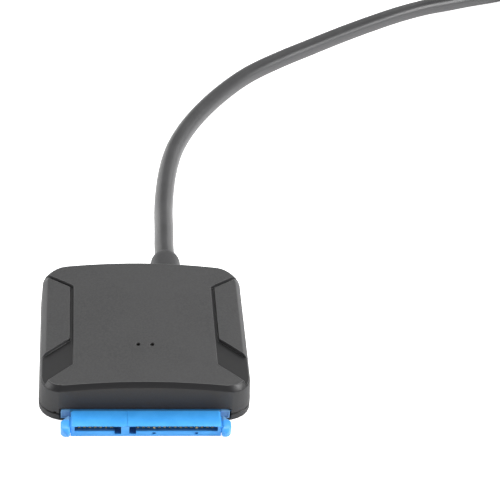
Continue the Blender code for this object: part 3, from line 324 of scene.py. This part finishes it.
cable = dict(
    diameter=5.2 * mm, length=0.500, sides=40, step=1.2 * mm, curveReads=24, floorGap=0.06 * mm,
    exitX=6.6 * mm, exitLevel=6.0 * mm, exitY=32.9 * mm, straight=3.5 * mm,
    # points listed in millimetres: down to the floor, and then along it
    descent=[(6.6, 41.0, 5.6), (6.95, 49.7, 4.6), (7.3, 60.6, 3.0)],
    laid=[(8.1, 70.9), (9.4, 80.7), (11.7, 90.9), (15.7, 101.3), (21.5, 112.1), (29.2, 123.3), (36.9, 132.2),
          (47.1, 140.9), (57.4, 148.6), (68.0, 156.4), (78.8, 163.8), (89.8, 170.7), (99.6, 175.7),
          (106.8, 178.4), (114.2, 181.3), (124.9, 185.2)],
    liftRun=12 * mm, liftRise=0.8 * mm,                # the last point before the coil
    coilRadius=25.0 * mm, coilEntry=(150.0 * mm, 194.8 * mm), coilHeading=21.0, coilBottom=1.0 * mm,
    coilReads=72, climbStart=0.74, climbOver=0.24,     # shares of a turn
    tail=52.0 * mm, tailShares=(0.25, 0.5, 0.75), plugLevel=4.1 * mm, plugGap=0.08 * mm,
    # the jacket: a soft satin grey with a very fine grain, and painted sheen that makes its sides lighter
    # than its top
    specular=0.4, paintedSideSheen=(0.08, 0.08, 0.082), crest=((0.026, 0.026, 0.027), (0.034, 0.034, 0.035)),
    cloud=7 * mm, grain=0.14 * mm, roughness=(0.3, 0.42), relief=0.015 * mm,
)


def coilPoints(form):
    # clockwise round the centre from the entry, until the path heads along -Y; the first turn lies on
    # the tie's level and climbs one diameter in its last quarter, as a smooth step, to lie on its start
    radius, heading = form["coilRadius"], radians(form["coilHeading"])
    share = np.linspace(0, 1 + (90 + form["coilHeading"]) / 360, form["coilReads"])
    angle = pi / 2 + heading - 2 * pi * share
    climb = np.clip((share - form["climbStart"]) / form["climbOver"], 0, 1)
    height = form["coilBottom"] + form["diameter"] * (0.5 + climb ** 2 * (3 - 2 * climb))
    return np.stack([form["coilEntry"][0] + radius * (sin(heading) + np.cos(angle)),
                     form["coilEntry"][1] - radius * (cos(heading) - np.sin(angle)), height], axis=1)


def smoothLine(route, step, reads):
    # a line through the route's points, each stretch a cubic whose end slopes come from the
    # neighbouring points (centripetal spacing), read at even steps
    gaps = np.linalg.norm(np.diff(route, axis=0), axis=1) ** 0.5
    times = np.concatenate([[0], np.cumsum(gaps)])
    slope = np.gradient(route, times, axis=0)
    t = np.linspace(0, 1, reads, endpoint=False)[:, None]
    stretches = [(2 * t ** 3 - 3 * t ** 2 + 1) * route[i] + (t ** 3 - 2 * t ** 2 + t) * gaps[i] * slope[i]
                 + (3 * t ** 2 - 2 * t ** 3) * route[i + 1] + (t ** 3 - t ** 2) * gaps[i] * slope[i + 1]
                 for i in range(len(route) - 1)]
    line = np.concatenate(stretches + [route[-1:]])
    run = np.concatenate([[0], np.cumsum(np.linalg.norm(np.diff(line, axis=0), axis=1))])
    even = np.linspace(0, run[-1], int(run[-1] / step) + 1)
    return np.stack([np.interp(even, run, line[:, k]) for k in range(3)], axis=1)


def cableRoute(form):
    # straight out of the boot, down to the floor, along it, up to the coil and round it, and down the
    # tail to the plug, with a smooth fall that is level at both ends
    floor = form["diameter"] / 2 + form["floorGap"]
    start = [(form["exitX"], form["exitY"], form["exitLevel"]),
             (form["exitX"], form["exitY"] + form["straight"], form["exitLevel"])]
    descent = np.array(form["descent"]) * mm
    laid = np.array([(x * mm, y * mm, floor) for x, y in form["laid"]])
    coil = coilPoints(form)
    heading, end = radians(form["coilHeading"]), coil[-1]
    lift = [(coil[0, 0] - form["liftRun"] * cos(heading), coil[0, 1] - form["liftRun"] * sin(heading),
             floor + form["liftRise"])]
    drop = end[2] - form["plugLevel"]
    tail = [(end[0], end[1] - form["tail"] * f, end[2] - drop * f ** 1.5 * (2.5 - 1.5 * f))
            for f in (*form["tailShares"], 1 - form["plugGap"] / form["tail"])]
    return np.concatenate([start, descent, laid, lift, coil, tail])


def jacketFinish(form):
    look = Finish("jacketFinish", Specular_IOR_Level=form["specular"])
    grain = look.noise(form["grain"], 3.0)
    crest = look.mottled(look.noise(form["cloud"]), *form["crest"])
    # painted sheen: the jacket's sides lighter than its top
    look.set("Base Color", look.withPaintedSideSheen(form["paintedSideSheen"], crest))
    return look.grained(grain, form["roughness"], form["relief"])


cablePath = smoothLine(cableRoute(cable), cable["step"], cable["curveReads"])
cableRun = float(np.linalg.norm(np.diff(cablePath, axis=0), axis=1).sum())
print("cable is", round(cableRun, 4), "m long")


# Strain relief: a round boot with a domed end that runs into the jacket

boot = dict(
    radius=3.9 * mm, neck=3.1 * mm, wall=27.1 * mm, wallGap=0.3 * mm, inner=25.2 * mm, flange=2.0 * mm,
    flangeRadius=3.7 * mm, foot=0.35 * mm, cylinder=5.6 * mm, reach=8.8 * mm, seat=4.0 * mm,
    bore=2.62 * mm, lip=0.1 * mm, footReads=7, domeReads=22, sides=64, sharp=50,
    # a grey near the jacket's, and duller, with painted sheen that makes its sides lighter than its top
    specular=0.3, paintedSideSheen=(0.1, 0.1, 0.102), crest=(0.035, 0.035, 0.036),
    grain=0.18 * mm, roughness=(0.56, 0.68), relief=0.01 * mm,
)


def bootProfile(form):
    # (radius, distance along y): the flange behind the wall, the neck through it, the cylinder with a
    # rounded foot, a dome that is a stretch of an ellipse down to a narrow lip at the jacket, the bore
    out, soft, back = form["radius"], form["foot"], form["inner"]
    end = form["wall"] + form["reach"]
    domeStart = form["wall"] + form["cylinder"]
    foot = form["wall"] + form["wallGap"]
    turn = np.linspace(0, pi / 2, form["footReads"])
    final = acos((form["bore"] + form["lip"]) / out)
    rise = np.linspace(0, final, form["domeReads"])[1:]
    bend = np.stack([out - soft + soft * np.sin(turn), foot + soft - soft * np.cos(turn)], axis=1)
    dome = np.stack([out * np.cos(rise), domeStart + (end - domeStart) * np.sin(rise) / sin(final)], axis=1)
    first = [(0, back - form["flange"]), (form["flangeRadius"], back - form["flange"]),
             (form["flangeRadius"], back), (form["neck"], back), (form["neck"], foot)]
    last = [(form["bore"], end), (form["bore"], end - form["seat"]), (0, end - form["seat"])]
    return np.concatenate([first, bend, [(out, domeStart)], dome, last])


def bootFinish(form):
    look = Finish("bootFinish", Specular_IOR_Level=form["specular"])
    # painted sheen: the boot's sides lighter than its top
    look.set("Base Color", look.withPaintedSideSheen(form["paintedSideSheen"], form["crest"]))
    return look.grained(look.noise(form["grain"]), form["roughness"], form["relief"])


bootSleeve = turnedSolid("bootSleeve", bootProfile(boot), (cable["exitX"], 0, cable["exitLevel"]), (0, 1, 0),
                         boot["sides"], bootFinish(boot), boot["sharp"])
joinFrame(bootSleeve, "cable_jacket", "strain_relief")
cableTube = sweptTube("cableTube", cablePath, cable["diameter"] / 2, cable["sides"], jacketFinish(cable))
joinFrame(cableTube, "cable_jacket", "cable", "cable_coil", "cable_tail")
print("cable and boot made")


# Covers

cover = dict(
    edge=0.17 * mm, smallest=0.1 * mm,
    draft=0.45 * mm, draftTop=9.0 * mm, draftFoot=3.6 * mm, draftFrom=21 * mm, draftOver=3 * mm,
    # where each shade lies: depths under the crown, tilts (1 is level, 0 upright), and the wall's
    # stretch above the socket by its direction, its half width and its height
    height=12.0 * mm, crownRadius=154 * mm, recessDepth=(0.4 * mm, 0.7 * mm, 1.1 * mm, 1.6 * mm),
    wallTilt=(0.0, 0.6), levelTilt=(0.93, 0.97), chamferTilt=(0.3, 0.5, 0.9, 0.96),
    rimTilt=(0.86, 0.92, 0.955, 0.975),
    frontFacing=(-0.98, -0.9), frontHalf=(16.125 * mm, 20.494 * mm), frontHeight=(4 * mm, 9 * mm),
    matte=((0.03, 0.03, 0.0305), (0.038, 0.038, 0.0385)), fleck=0.5 * mm,
    smudge=(0.024, 0.024, 0.0245), smudgeSize=6 * mm, smudgeEdge=(0.56, 0.7), smudgeShare=0.25,
    pale=(0.041, 0.041, 0.0415), paleSize=14 * mm, paleEdge=(0.35, 0.65), paleShare=0.35,
    # painted shade on the wall above the socket: darker, most of all towards the bottom, and warmer
    wall=(0.036, 0.036, 0.037), warmPaintedShade=((0.033, 0.024, 0.017), (0.035, 0.031, 0.027)),
    # painted shade on the recess floors and chamfers, and a painted highlight on the rounded top edges
    recess=(0.008, 0.008, 0.0085), chamfer=(0.017, 0.017, 0.018), rim=(0.1, 0.1, 0.1),
    specular=0.3, grain=0.22 * mm, roughness=(0.5, 0.64), relief=0.035 * mm, strength=0.55,
    smoothRoughness=0.34, chamferShare=0.8, flattened=0.85,     # on the recess floors and chamfers
)


def draftedWalls(points):
    # the side walls lean out as they go down, by draft at the parting line, and the part of each
    # cover between them stays as it is
    lean = np.clip((cover["draftTop"] - points[:, 2]) / (cover["draftTop"] - cover["draftFoot"]), 0, 1)
    near = np.clip((np.abs(points[:, 0]) - cover["draftFrom"]) / cover["draftOver"], 0, 1)
    points[:, 0] += np.sign(points[:, 0]) * cover["draft"] * lean * near
    return points


def coverFinish(form):
    # fine spark-eroded grain on the crown and walls; smoother chamfers with painted shade on them; a
    # painted highlight on the rounded top edges; and smooth floors in the two recesses with painted shade
    # on them, found by how far a level face lies below the crown
    look = Finish("coverFinish", Specular_IOR_Level=form["specular"])
    x, _, z = look.split(look.place())
    _, ahead, tilt = look.facing()
    below = form["height"] - x * x * (1 / (2 * form["crownRadius"])) - z
    floors = tilt.ramp(*form["levelTilt"]) * below.band(*form["recessDepth"])
    slant = tilt.band(*form["chamferTilt"])
    grain = look.noise(form["grain"], 4.0, 0.6)
    smudge = look.noise(form["smudgeSize"], 3.0, 0.6).ramp(*form["smudgeEdge"])
    cloud = look.noise(form["paleSize"]).ramp(*form["paleEdge"])
    matte = look.mottled(look.noise(form["fleck"]), *form["matte"])
    aged = look.blend(smudge * form["smudgeShare"], matte, form["smudge"])
    toned = look.blend(cloud * form["paleShare"], aged, form["pale"])
    # painted shade: the wall above the socket is darker than the other walls and darker towards the
    # bottom, and a little warmer, since the socket throws blue light on it
    front = ahead.ramp(*form["frontFacing"], 1.0, 0.0) * (1 - x.past(*form["frontHalf"]))
    warmPaintedShade = look.blend(z.ramp(*form["frontHeight"]), *form["warmPaintedShade"])
    walled = look.blend(tilt.ramp(*form["wallTilt"]), look.blend(front, form["wall"], warmPaintedShade), toned)
    # painted shade on the recess floors and chamfers, and a painted highlight along the rounded top edges
    sunk = look.blend(floors, walled, form["recess"])
    sloped = look.blend(slant, sunk, form["chamfer"])
    look.set("Base Color", look.blend(tilt.band(*form["rimTilt"]), sloped, form["rim"]))
    smooth = (floors + slant * form["chamferShare"]).ramp(0, 1)
    look.set("Roughness", grain.ramp(0.25, 0.75, *form["roughness"]) * (1 - smooth)
             + smooth * form["smoothRoughness"])
    return look.relief(grain * (1 - smooth * form["flattened"]), form["relief"], form["strength"])


housing = coverFinish(cover)
for name, node in (("topShell", "top_cover"), ("bottomShell", "bottom_cover")):
    easedShell(name, node, "housing_plastic", housing, cover, draftedWalls)
print("covers made")


# Drive socket

socket = dict(
    edge=0.07 * mm, sharp=35, flat=0, mouth=-25.45 * mm, wall=-20.1 * mm,
    earInner=18.3 * mm, earWidth=2.05 * mm, noseReach=1.65 * mm, noseLean=0.32 * mm, noseTaper=0.45 * mm,
    leanFull=0.25,                                     # share of the nose by which it leans in full
    # where each shade lies: half widths, distances behind the mouth or in front of the wall, heights
    slotHalf=(17.32 * mm, 17.607 * mm), slotDepth=(0.1 * mm, 0.5 * mm), slotFloor=(1.9 * mm, 2.6 * mm),
    slotHeight=(0.5 * mm, 0.7 * mm, 3.42 * mm, 3.45 * mm),
    tongueHalf=(18.0 * mm, 18.33 * mm), blockDepth=(2.0 * mm, 2.6 * mm), wallShadowReach=(0.06 * mm, 0.28 * mm),
    tongue=((0.05, 0.345, 0.84), (0.063, 0.39, 0.9)), flow=3.2 * mm, ear=(0.058, 0.33, 0.82),
    # painted shadow along the cover's wall, and painted shade inside the slots
    block=(0.14, 0.32, 0.58), paintedWallShadow=(0.02, 0.06, 0.12), wallShadowShare=0.7,
    slot=((0.05, 0.18, 0.5), (0.025, 0.07, 0.24)),
    grain=0.2 * mm, roughness=(0.26, 0.38), relief=0.008 * mm,
)


def leaningNoses(points):
    # each guide ear's nose stands against the tongue's side and narrows on its outer side
    out = np.clip((socket["mouth"] - points[:, 1]) / socket["noseReach"], 0, 1)
    across = np.clip((np.abs(points[:, 0]) - socket["earInner"]) / socket["earWidth"], 0, 1)
    lean = socket["noseLean"] * np.clip(out / socket["leanFull"], 0, 1)
    points[:, 0] -= np.sign(points[:, 0]) * (lean * (1 - across) + socket["noseTaper"] * out * across)
    return points


def socketFinish(form):
    # glossy light blue moulding with faint flow marks, greyer blocks beside the tongue, a painted shadow
    # along the cover's wall, and painted shade inside the slots: deep blue, darker towards their top
    look = Finish("socketFinish")
    x, y, z = look.split(look.place())
    behind = y - form["mouth"]
    inside = behind.ramp(*form["slotDepth"]) * z.band(*form["slotHeight"]) * (1 - x.past(*form["slotHalf"]))
    beside = x.past(*form["tongueHalf"])
    block = beside * behind.ramp(*form["blockDepth"])
    # painted shadow on the socket along the cover's wall
    paintedWallShadow = (form["wall"] - y).ramp(*form["wallShadowReach"], 1.0, 0.0) * (1 - block)
    tongue = look.mottled(look.noise(form["flow"]), *form["tongue"])
    eared = look.blend(beside, tongue, form["ear"])
    stepped = look.blend(block, eared, form["block"])
    shaded = look.blend(paintedWallShadow * form["wallShadowShare"], stepped, form["paintedWallShadow"])
    # painted shade inside the slots, darker towards their top
    paintedSlotShade = look.blend(z.ramp(*form["slotFloor"]), *form["slot"])
    look.set("Base Color", look.blend(inside, shaded, paintedSlotShade))
    return look.grained(look.noise(form["grain"]), form["roughness"], form["relief"])


blue = socketFinish(socket)
easedShell("socketShell", "drive_socket_body", "socket_plastic", blue, socket, leaningNoses)
print("socket made")


# Metal and small moulded parts

metals = dict(
    # plated spring strip, with the faint lines of its rolling
    goldFinish=dict(first=(0.78, 0.46, 0.14), second=(0.88, 0.56, 0.2), line=0.12 * mm, detail=2.0,
                    along=1.0, roughness=(0.2, 0.34), relief=0.004 * mm),
    # bright plated sheet, with short streaks brushed along it
    steelFinish=dict(first=(0.62, 0.62, 0.63), second=(0.78, 0.78, 0.79), line=0.3 * mm, detail=3.0,
                     along=0.12, roughness=(0.2, 0.38), relief=0.006 * mm),
)
moulding = dict(cloud=2.5 * mm, grain=0.2 * mm, smoother=0.06, rougher=0.08, relief=0.012 * mm)
board = dict(spacing=2.4 * mm, line=(0.04, 0.09), resist=(0.015, 0.11, 0.05), copper=(0.04, 0.22, 0.09),
             roughness=0.35, relief=0.02 * mm, strength=0.4)


def metalFinish(name):
    form = metals[name]
    look = Finish(name, Metallic=1.0)
    stretched = look.node("ShaderNodeMapping", None, look.place(), Scale=(1, form["along"], 1)).out()
    line = look.noise(form["line"], form["detail"], place=stretched)
    look.set("Base Color", look.mottled(line, form["first"], form["second"]))
    return look.grained(line, form["roughness"], form["relief"])


def mouldedFinish(name, colour, lighter, roughness, grain=moulding["grain"]):
    # a small moulded part: two close shades and a fine grain
    look = Finish(name)
    look.set("Base Color", look.mottled(look.noise(moulding["cloud"]), colour, lighter))
    spread = (roughness - moulding["smoother"], roughness + moulding["rougher"])
    return look.grained(look.noise(grain), spread, moulding["relief"])


def boardFinish(form):
    # solder resist over faint copper lines
    look = Finish("boardFinish", Roughness=form["roughness"])
    cells = look.node("ShaderNodeTexVoronoi", {"feature": "DISTANCE_TO_EDGE"}, look.place(),
                      Scale=1 / form["spacing"])
    line = cells.out("Distance").ramp(*form["line"], 1.0, 0.0)
    look.set("Base Color", look.blend(line, form["resist"], form["copper"]))
    return look.relief(line, form["relief"], form["strength"])


gold = metalFinish("goldFinish")
steel = metalFinish("steelFinish")
chipBlack = mouldedFinish("chipFinish", (0.018, 0.018, 0.02), (0.028, 0.028, 0.03), 0.45)
lens = mouldedFinish("lensFinish", (0.8, 0.8, 0.66), (0.86, 0.86, 0.74), 0.25)


# Power jack, coil's tie and host plug

jack = dict(edge=0.06 * mm)
strap = dict(edge=0.15 * mm, middle=6 * mm, lift=0.6 * mm, weave=9000,      # weave in radians a metre
             shades=((0.018, 0.018, 0.018), (0.05, 0.05, 0.052)), shadeEdge=(-1.2, 1.2),
             roughness=0.8, relief=0.05 * mm, strength=0.6)
plugSheet = dict(edge=0.08 * mm)
plugMoulding = dict(edge=0, sharp=30, shades=((0.035, 0.035, 0.037), (0.05, 0.05, 0.052)), roughness=0.5,
                    grain=0.22 * mm)


def tallerStrap(points):
    # the strap's upper half is raised, so that it clears the coil's two layers
    points[:, 2] += np.where(points[:, 2] > strap["middle"], strap["lift"], 0)
    return points


def strapFinish(form):
    # woven strap: threads along and across
    look = Finish("strapFinish", Roughness=form["roughness"])
    x, y, z = ((part * form["weave"]).math("SINE") for part in look.split(look.place()))
    weave = x * z + y
    look.set("Base Color", look.blend(weave.ramp(*form["shadeEdge"]), *form["shades"]))
    return look.relief(weave, form["relief"], form["strength"])


easedShell("jackShell", "power_jack_body", "chip_plastic", chipBlack, jack)
tieStrap = easedShell("tieStrap", "cable_tie", "tie_fabric", strapFinish(strap), strap, tallerStrap)
plugShell = easedShell("plugShell", "host_plug_shell", "bright_metal", steel, plugSheet)
plugFinish = mouldedFinish("plugFinish", *plugMoulding["shades"], plugMoulding["roughness"],
                           plugMoulding["grain"])
plugCover = easedShell("plugCover", "host_plug_cover", "housing_plastic", plugFinish, plugMoulding)
print("jack, tie and plug made")


# The solids that stay take their finish by name

wires = dict(colours=dict(power_wire=(0.5, 0.02, 0.02), ground_wire=(0.02, 0.02, 0.02),
                          send_wire=(0.02, 0.12, 0.5), receive_wire=(0.7, 0.7, 0.65)),
             lighter=1.25, roughness=0.45)
keptFinish = dict(circuit_board=boardFinish(board), host_plug_tongue=blue)
for name in ("crystal_can", "capacitor_1", "capacitor_2", "capacitor_3", "power_jack_pin",
             "power_jack_spring"):
    keptFinish[name] = steel
for name in ("bridge_chip", "flash_chip", "regulator_chip", "power_inductor"):
    keptFinish[name] = chipBlack
for name in ("indicator_1", "indicator_2"):
    keptFinish[name] = lens
for name, colour in wires["colours"].items():
    lighter = tuple(min(1, c * wires["lighter"]) for c in colour)
    keptFinish[name] = mouldedFinish(name + "Finish", colour, lighter, wires["roughness"])
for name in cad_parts:
    if "contact" in name:
        keptFinish[name] = gold
for name, finish in keptFinish.items():
    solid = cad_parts[name]
    solid.data.materials.clear()
    solid.data.materials.append(finish)
print("finishes set on", len(keptFinish), "solids")

cordPieces = [bootSleeve, tieStrap, plugShell, plugCover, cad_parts["host_plug_tongue"]]
cordPieces += [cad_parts[n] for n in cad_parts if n.startswith("host_plug_contact")]


# Light and floor

studio = dict(
    dome=0.5,                                 # light of the surroundings on the object
    domeFar=0.68, domeFront=0.15,             # how bright they look in reflections, behind and in front
    domeSlope=0.6, domeEdge=(0.35, 0.8),      # between these heights, less the slope's share of the way back
    lamps=dict(
        overhead=dict(place=(0.0, 0.3, 0.7), size=(0.6, 0.4), power=3.5),
        right=dict(place=(0.66, -0.14, 0.44), size=(0.3, 0.3), power=5.4),
        left=dict(place=(-0.75, 0.05, 0.3), size=(0.4, 0.3), power=2.6),
        backRight=dict(place=(0.55, 0.7, 0.25), size=(0.6, 0.4), power=1.4),
        backLeft=dict(place=(-0.55, 0.7, 0.25), size=(0.6, 0.4), power=1.4),
        front=dict(place=(-0.1, -0.8, 0.35), size=(0.6, 0.4), power=1.0)),
    floorHalf=3, floorColour=(0.82, 0.82, 0.82, 1), floorRoughness=0.9, floorGlow=0.9, floorMirrored=0.55,
)


class WorldLook(Finish):
    # the same node method, on the world's own tree

    def __init__(self, world):
        world.use_nodes = True
        self.tree = world.node_tree
        self.shader = self.tree.nodes["Background"]


def addLamp(name, lamp):
    # a soft rectangle that faces the origin
    data = bpy.data.lights.new(name, "AREA")
    data.shape = "RECTANGLE"
    data.size, data.size_y = lamp["size"]
    data.energy = lamp["power"]
    made = bpy.data.objects.new(name, data)
    made.location = lamp["place"]
    made.rotation_euler = (Vector((0, 0, 0)) - Vector(lamp["place"])).to_track_quat("-Z", "Y").to_euler()
    bpy.context.collection.objects.link(made)


def addSurroundings(light):
    # white to the camera; in reflections bright near the horizon and behind, and dimmer above the
    # front; an even glow for all other light
    world = bpy.data.worlds.new("studioWorld")
    bpy.context.scene.world = world
    look = WorldLook(world)
    path = look.node("ShaderNodeLightPath")
    seen = path.out("Is Camera Ray").math("MAXIMUM", path.out("Is Transmission Ray"))
    glossy = path.out("Is Glossy Ray")
    _, depth, height = look.split(look.node("ShaderNodeTexCoord").out("Generated"))
    across = height - depth * light["domeSlope"]
    dome = across.ramp(*light["domeEdge"], light["domeFar"], light["domeFront"])
    look.set("Color", (1, 1, 1, 1))
    look.set("Strength", seen + (1 - seen) * (glossy * dome + (1 - glossy) * light["dome"]))


def addFloor(light):
    # pale floor that glows white to the camera and to reflections, under a faint shadow
    look = Finish("floorFinish", Base_Color=light["floorColour"], Roughness=light["floorRoughness"],
                  Specular_IOR_Level=0.0, Emission_Color=(1, 1, 1, 1))
    path = look.node("ShaderNodeLightPath")
    look.set("Emission Strength", path.out("Is Camera Ray") * light["floorGlow"]
             + path.out("Is Glossy Ray") * light["floorMirrored"])
    half = light["floorHalf"]
    corners = [(-half, -half, 0), (half, -half, 0), (half, half, 0), (-half, half, 0)]
    meshObject("studioFloor", corners, [(0, 1, 2, 3)], look.material)


addSurroundings(studio)
for name, lamp in studio["lamps"].items():
    addLamp(name + "Light", lamp)
addFloor(studio)
bpy.context.scene.view_settings.view_transform = "Standard"
print("light and floor placed")
